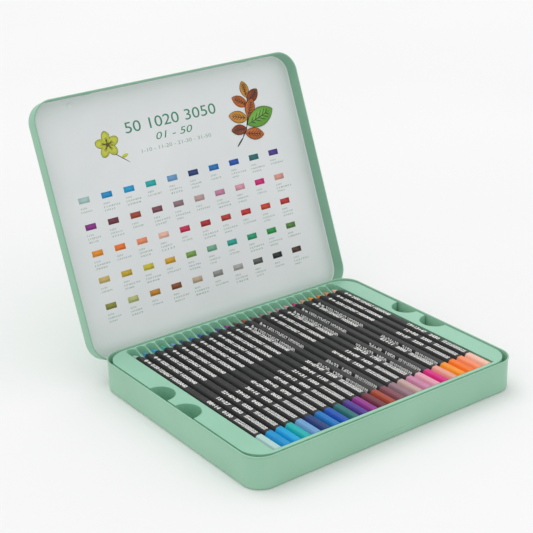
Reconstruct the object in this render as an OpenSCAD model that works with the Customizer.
// Colored pencil tin: a hinged pressed-tin case with two layers of pencils in formed trays.
// Origin: centre of the tin's flat bottom. +X runs along the front, +Y to the hinge, +Z up.
// The lid is drawn shut and then swung back about its hinge, as the open tin stands.

/* [Tin] */
// Width of the base along the front, over the walls
tin_w = 230; // [222:1:260]
// Depth of the base from front to hinge, over the walls
tin_d = 189; // [187:1:194]
// Height of the base up to the top of its rolled rim
tin_h = 24.5; // [24:0.5:30]
// Radius of the base's upright corners
corner_r = 14.5; // [11:0.5:20]
// Radius of the pressed bottom edge
bottom_r = 1.6; // [1.2:0.2:3]
// Thickness of the tinplate
sheet = 0.5; // [0.4:0.1:0.7]

/* [Lid] */
// How far the shut lid's hinge line lies below the base's rim
lid_lap = 7.5; // [7:0.5:11]
// How far the shut lid's top stands above the base's rim
lid_rise = 4.5; // [2:0.1:5]
// Room between the base's wall and the lid's skirt
lid_room = 1.2; // [1:0.1:1.6]
// How far the lid leans open from shut, in degrees
open_angle = 111; // [95:1:120]
// Distance of each hinge from the middle
hinge_x = 62; // [45:1:85]

/* [Pencils] */
// Length of a pencil from its dipped end to its point
pencil_l = 175; // [170:1:175]
// Width of a pencil across its flats
pencil_flat = 7; // [6.6:0.1:7]
// Spacing of the pencils in a tray
pitch = 8.05; // [8:0.01:8.1]
// Length of the sharpened cone
cone_l = 13; // [11:1:16]

/* [Trays] */
// Depth of the tray's rim below the tin's rim
tray_drop = 1.2; // [1.2:0.1:2]
// Radius of a finger well
well_r = 11; // [8:0.5:12]
// Thickness of the formed sheet
tray_wall = 0.9; // [0.7:0.1:1.2]

/* [Hidden] */
$fn = 48;
eps = 0.02;

// Rolled edges, of tinplate curled outwards
rim_r = 0.6;
hem_r = 0.6;
curl_lap = 0.05;

// Embossed groove low on the front wall
groove_l = 18;
groove_z = 5.5;
groove_r = 0.6;
groove_deep = 0.25;

// Lid, in the shut position
lid_w = tin_w + 2*(lid_room + sheet);
lid_d = tin_d + 2*(lid_room + sheet);
lid_r = corner_r + lid_room;
lid_edge_r = 1.8;
lid_top = tin_h + lid_rise;
hinge_z = tin_h - lid_lap;
hinge_y = tin_d/2 + lid_room - curl_lap + hem_r;
dent_x = 70;
dent_l = 11;
dent_r = 2.4;
dent_in = 1;
dent_z = hinge_z + 2.6;
pip_x = 80;
pip_y = -lid_d/2 + 5;
pip_r = 2.2;
pip_h = 0.4;

// Hinge knuckles and their wire pins
knuckle_r = 1.4;
pin_r = 0.7;
pin_room = 0.05;
side_knuckle_l = 7;
mid_knuckle_l = 9;
knuckle_gap = 0.3;
web_t = 1;
lip_t = 0.6;
lip_room = 0.05;
pin_l = 2*side_knuckle_l + mid_knuckle_l + 2*knuckle_gap;

// Pencils
softened_r = pencil_flat*0.55;
lead_tip_r = 0.35;
end_chamfer = 0.35;
top_count = 24;
low_count = 26;

// Trays
tray_gap = 0.5;
tray_w = tin_w - 2*(sheet + tray_gap);
tray_d = tin_d - 2*(sheet + tray_gap);
tray_r = corner_r - sheet - tray_gap;
lay_gap = 0.05;
pencil_drop = 0.7;
pencil_rise = 0.9;
pencil_half = pencil_flat/2;
top_flange_z = tin_h - tray_drop;
top_axis_z = top_flange_z + pencil_rise - pencil_half;
low_flange_z = tin_h/2 - 1;
low_axis_z = low_flange_z - pencil_drop - pencil_half;
low_tray_z = sheet + lay_gap;
top_tray_z = low_flange_z + lay_gap;
side_room = 0.35;
end_room = 0.3;
channel_r = softened_r + 0.3;
ridge_drop = 1.1;
pocket_y = tray_d/2 - 6.2;
tip_y = pocket_y - 1.5;
butt_y = tip_y - pencil_l;
recess_y = butt_y - end_room;
pocket_top_r = 3.8;
pocket_low_r = 2.9;
ridge_y = tip_y - 0.78*cone_l;
knee_y = pocket_y - 7.5;
knee_drop = 2.1;
foot_r = 1.6;
rib_half = 1.5;
rib_h = 1.3;
well_x = tray_w/2 - 1.8;
well_ys = [19.2, -12.4];

// Place of pencil number i, counted from 1, in a layer of n
function lane_x(i, n) = (i - (n + 1)/2)*pitch;

// A 2D profile swept round a rounded rectangle. The profile's X is the distance from a corner's
// centre and its Y is the height. Straight sides and quarter turns meet face to face.
module swept_round(w, d, r) {
    run_x = w - 2*r;
    run_y = d - 2*r;
    for (s = [-1, 1]) {
        translate([s*run_x/2, 0, 0])
            mirror([s < 0 ? 1 : 0, 0, 0])
                rotate([90, 0, 0]) linear_extrude(height = run_y, center = true) children();
        translate([0, s*run_y/2, 0])
            rotate([0, 0, s*90])
                rotate([90, 0, 0]) linear_extrude(height = run_x, center = true) children();
    }
    for (k = [0:3])
        translate([(k == 0 || k == 3 ? 1 : -1)*run_x/2, (k < 2 ? 1 : -1)*run_y/2, 0])
            rotate([0, 0, 90*k]) rotate_extrude(angle = 90) children();
}

// A block with rounded upright corners, standing on z = 0
module rounded_block(w, d, r, h) {
    swept_round(w, d, r) square([r, h]);
    translate([-w/2 + r, -d/2 + r, 0]) cube([w - 2*r, d - 2*r, h]);
}

// Quarter of a bent sheet's section, curving from flat to upright
module quarter_bend(r, t) {
    intersection() {
        difference() {
            circle(r);
            circle(r - t);
        }
        translate([0, -r]) square(r);
    }
}

// A bar along X with round ends
module stadium_bar(l, r, deep) {
    cube([l - 2*r, deep, 2*r], center = true);
    for (s = [-1, 1])
        translate([s*(l/2 - r), 0, 0]) rotate([90, 0, 0]) cylinder(r = r, h = deep, center = true);
}

// A cylinder along X, centred at x
module x_rod(r, l, x = 0) {
    translate([x, 0, 0]) rotate([0, 90, 0]) cylinder(r = r, h = l, center = true);
}

// Section of the base's wall, from its bottom bend to its rolled rim
module base_wall_section() {
    translate([corner_r - sheet, bottom_r]) square([sheet, tin_h - bottom_r - rim_r]);
    translate([corner_r - bottom_r, bottom_r]) quarter_bend(bottom_r, sheet);
    translate([corner_r - sheet - curl_lap + rim_r, tin_h - rim_r]) circle(rim_r);
}

// One hinge's pair of curled knuckles on the rear wall, with the strips that carry them
module base_knuckles(x) {
    off = (mid_knuckle_l + side_knuckle_l)/2 + knuckle_gap;
    for (s = [-1, 1])
        difference() {
            union() {
                translate([0, hinge_y, hinge_z]) x_rod(knuckle_r, side_knuckle_l, x + s*off);
                translate([x + s*off - side_knuckle_l/2, tin_d/2 - sheet/2, hinge_z - web_t/2])
                    cube([side_knuckle_l, hinge_y - tin_d/2 + sheet/2, web_t]);
            }
            translate([0, hinge_y, hinge_z]) x_rod(pin_r, side_knuckle_l + 1, x + s*off);
        }
}

// The base pressed from one sheet: bottom, bend, wall, rolled rim and hinge knuckles
module base_tin() {
    color([0.60, 0.76, 0.67]) {
        difference() {
            union() {
                swept_round(tin_w, tin_d, corner_r) base_wall_section();
                rounded_block(tin_w - 2*bottom_r, tin_d - 2*bottom_r, corner_r - bottom_r, sheet);
            }
            translate([0, -tin_d/2, groove_z]) stadium_bar(groove_l, groove_r, 2*groove_deep);
        }
        base_knuckles(-hinge_x);
        base_knuckles(hinge_x);
    }
}

// A wire pin through one hinge
module hinge_pin(x) {
    color([0.75, 0.75, 0.77])
        translate([0, hinge_y, hinge_z]) x_rod(pin_r, pin_l, x);
}

// Section of the lid's skirt, from its rolled hem to the bend of its top
module lid_skirt_section() {
    translate([lid_r - sheet, hinge_z]) square([sheet, lid_top - lid_edge_r - hinge_z]);
    translate([lid_r - lid_edge_r, lid_top - lid_edge_r]) mirror([0, 1]) quarter_bend(lid_edge_r, sheet);
    translate([lid_r - sheet - curl_lap + hem_r, hinge_z]) circle(hem_r);
}

// A dent pressed into the front skirt, which clicks under the base's rim
module snap_dent(x) {
    inner_y = -lid_d/2 + sheet;
    translate([0, inner_y + dent_in - dent_r, dent_z])
        intersection() {
            difference() {
                x_rod(dent_r, dent_l, x);
                x_rod(dent_r - sheet, dent_l - 2*sheet, x);
            }
            translate([x - dent_l, dent_r - dent_in - sheet, -dent_r]) cube([2*dent_l, 2*dent_r, 2*dent_r]);
        }
}

// The hollow that a snap dent leaves in the outside of the skirt
module snap_dent_hollow(x) {
    translate([0, -lid_d/2 + sheet + dent_in - dent_r, dent_z]) x_rod(dent_r - sheet, dent_l - 2*sheet, x);
}

// Everything cut from the skirt at one hinge: room for the base's knuckles, and the pin's bore
module hinge_cut(x) {
    off = (mid_knuckle_l + side_knuckle_l)/2 + knuckle_gap;
    translate([0, hinge_y, hinge_z]) {
        for (s = [-1, 1]) x_rod(knuckle_r + knuckle_gap, side_knuckle_l + 2*knuckle_gap, x + s*off);
        x_rod(pin_r + pin_room, pin_l + 1, x);
    }
}

// One hinge's curled middle knuckle, with the lip that bears on the base's wall when the lid is open
module lid_knuckle(x) {
    reach = hinge_y - tin_d/2 - lip_room;
    translate([x, hinge_y, hinge_z]) {
        x_rod(knuckle_r, mid_knuckle_l);
        rotate([open_angle, 0, 0])
            translate([-mid_knuckle_l/2, -reach, -lip_t/2]) cube([mid_knuckle_l, reach, lip_t]);
    }
}

// The lid in its shut position
module lid_shut() {
    difference() {
        union() {
            swept_round(lid_w, lid_d, lid_r) lid_skirt_section();
            translate([0, 0, lid_top - sheet])
                rounded_block(lid_w - 2*lid_edge_r, lid_d - 2*lid_edge_r, lid_r - lid_edge_r, sheet);
            for (s = [-1, 1]) {
                lid_knuckle(s*hinge_x);
                translate([s*pip_x, pip_y, lid_top - sheet - pip_h])
                    cylinder(r1 = pip_r*0.7, r2 = pip_r, h = pip_h + eps);
            }
        }
        for (s = [-1, 1]) {
            hinge_cut(s*hinge_x);
            snap_dent_hollow(s*dent_x);
        }
    }
    for (s = [-1, 1]) snap_dent(s*dent_x);
}

// The lid pressed from one sheet, swung open about its hinge
module lid_tin() {
    color([0.56, 0.74, 0.64])
        translate([0, hinge_y, hinge_z]) rotate([-open_angle, 0, 0]) translate([0, -hinge_y, -hinge_z])
            lid_shut();
}

// Section of a tray's edge, from the middle of a corner to the skirt, with a rounded foot
module tray_edge_section(h) {
    translate([0, foot_r]) square([tray_r, h - foot_r]);
    square([tray_r - foot_r, foot_r]);
    translate([tray_r - foot_r, foot_r]) quarter_bend(foot_r, foot_r);
}

// The block that a tray is hollowed from, standing on z = 0
module tray_block(h) {
    swept_round(tray_w, tray_d, tray_r) tray_edge_section(h);
    translate([-tray_w/2 + tray_r, -tray_d/2 + tray_r, 0]) cube([tray_w - 2*tray_r, tray_d - 2*tray_r, h]);
}

// The hollow under the channels, which rises in a groove below each ridge
module underside_hollow(n, half, bottom_z, top_z) {
    y_to = tray_d/2 - tray_wall;
    translate([-half, recess_y, bottom_z - 1]) cube([2*half, y_to - recess_y, top_z - bottom_z + 1]);
    for (i = [1:n - 1])
        translate([lane_x(i, n) + pitch/2, ridge_y, top_z])
            rotate([90, 0, 0])
                linear_extrude(height = ridge_y - recess_y)
                    polygon([[-rib_half, -eps], [rib_half, -eps], [0, rib_h]]);
}

// One lane of a tray: a half-round channel, and a tapered pocket with a round end for the point
module lane_cut(x, flange_z, axis_z, floor_z) {
    deep = flange_z - floor_z + eps;
    translate([x, recess_y, axis_z])
        rotate([-90, 0, 0]) cylinder(r = channel_r, h = ridge_y - recess_y);
    translate([x, pocket_y, floor_z]) {
        cylinder(r1 = pocket_low_r, r2 = pocket_top_r, h = deep);
        rotate([90, 0, 0]) linear_extrude(height = pocket_y - ridge_y)
            polygon([
                [-pocket_low_r, 0], [pocket_low_r, 0], [pocket_top_r, deep], [-pocket_top_r, deep]
            ]);
    }
}

// The open space over the channels. The ridges between the pockets rise to the flange in two slopes
module recess_cut(half, flange_z, axis_z) {
    ridge_z = axis_z - ridge_drop;
    over_z = flange_z + 1;
    translate([-half, 0, 0]) rotate([90, 0, 90])
        linear_extrude(height = 2*half)
            polygon([
                [recess_y, ridge_z], [ridge_y, ridge_z], [knee_y, flange_z - knee_drop],
                [pocket_y, flange_z], [pocket_y, over_z], [recess_y, over_z]
            ]);
}

// The hollow under one side flange, which leaves a wall round each finger well
module flange_hollow(side, half, bottom_z, flange_z, wells) {
    x_in = half + tray_wall;
    x_out = tray_w/2 - tray_wall;
    y_half = tray_d/2 - tray_r;
    difference() {
        translate([side > 0 ? x_in : -x_out, -y_half, bottom_z - 1])
            cube([x_out - x_in, 2*y_half, flange_z - tray_wall - bottom_z + 1]);
        for (y = wells)
            translate([side*well_x, y, bottom_z - 2]) cylinder(r = well_r + tray_wall, h = flange_z);
    }
}

// A formed tray for n pencils: flange, channels, tip pockets, and finger wells where given
module pencil_tray(n, bottom_z, flange_z, axis_z, wells) {
    half = n*pitch/2 + side_room;
    floor_z = axis_z - pencil_half - lay_gap;
    difference() {
        union() {
            difference() {
                translate([0, 0, bottom_z]) tray_block(flange_z - bottom_z);
                recess_cut(half, flange_z, axis_z);
                for (i = [1:n]) lane_cut(lane_x(i, n), flange_z, axis_z, floor_z);
            }
            translate([-half - eps, recess_y - eps, floor_z - tray_wall])
                cube([2*half + 2*eps, pocket_y - recess_y, tray_wall]);
        }
        underside_hollow(n, half, bottom_z, floor_z - tray_wall);
        for (s = [-1, 1]) {
            flange_hollow(s, half, bottom_z, flange_z, wells);
            for (y = wells) translate([s*well_x, y, bottom_z - 1]) cylinder(r = well_r, h = flange_z);
        }
    }
}

module upper_tray() {
    color([0.62, 0.82, 0.72]) pencil_tray(top_count, top_tray_z, top_flange_z, top_axis_z, well_ys);
}

module lower_tray() {
    color([0.62, 0.82, 0.72]) pencil_tray(low_count, low_tray_z, low_flange_z, low_axis_z, []);
}

// A sharpened pencil: six flats with softened edges, a turned cone and a chamfered end
module pencil(x, axis_z) {
    color([0.14, 0.14, 0.15])
        translate([x, butt_y, axis_z]) rotate([-90, 0, 0])
            intersection() {
                rotate_extrude() polygon([
                    [0, 0], [softened_r - end_chamfer, 0], [softened_r, end_chamfer],
                    [softened_r, pencil_l - cone_l], [lead_tip_r, pencil_l], [0, pencil_l]
                ]);
                linear_extrude(height = pencil_l) circle(r = pencil_half/cos(30), $fn = 6);
            }
}

base_tin();
hinge_pin(-hinge_x);  // hinge_pin_left
hinge_pin(hinge_x);  // hinge_pin_right
lid_tin();
upper_tray();
lower_tray();
for (i = [1:top_count])
    pencil(lane_x(i, top_count), top_axis_z);
for (i = [1:low_count])
    pencil(lane_x(i, low_count), low_axis_z);
